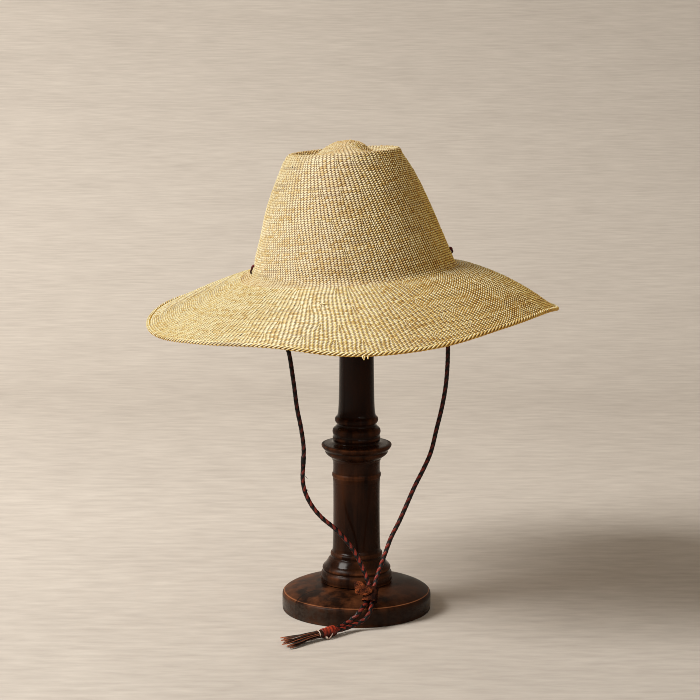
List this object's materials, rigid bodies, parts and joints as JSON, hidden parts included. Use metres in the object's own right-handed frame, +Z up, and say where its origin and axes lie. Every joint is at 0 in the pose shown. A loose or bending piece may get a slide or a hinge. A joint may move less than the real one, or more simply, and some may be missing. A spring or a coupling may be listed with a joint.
{
  "type": "sun hat on a turned wooden stand",
  "caption": "Wide-brimmed woven straw sun hat with a dented crown, plaited border and braided leather chin cord, held on a turned wooden stand.",
  "frame": {"origin": "middle of the underside of the stand", "axes": "+Z up along the stand, -Y the front of the hat, +X to the right seen from the front"},
  "size_m": [0.393, 0.393, 0.457],
  "materials": {
    "straw": "woven straw, matte",
    "straw_border": "plaited straw, matte",
    "cord_leather": "braided black and red leather, satin",
    "red_leather": "wound red leather, satin",
    "tassel_leather": "cut leather strips, satin",
    "suede": "suede, matte",
    "wood": "dark polished wood"
  },
  "bodies": {
    "root": {"crown_and_brim": "straw", "brim_border": "straw_border", "lace_left": "cord_leather", "lace_right": "cord_leather", "chin_cord_left": "cord_leather", "chin_cord_right": "cord_leather", "cord_slider": "suede", "cord_knot": "red_leather", "tassel": "tassel_leather", "stand_base": "wood", "stand_post": "wood"}
  },
  "joints": []
}
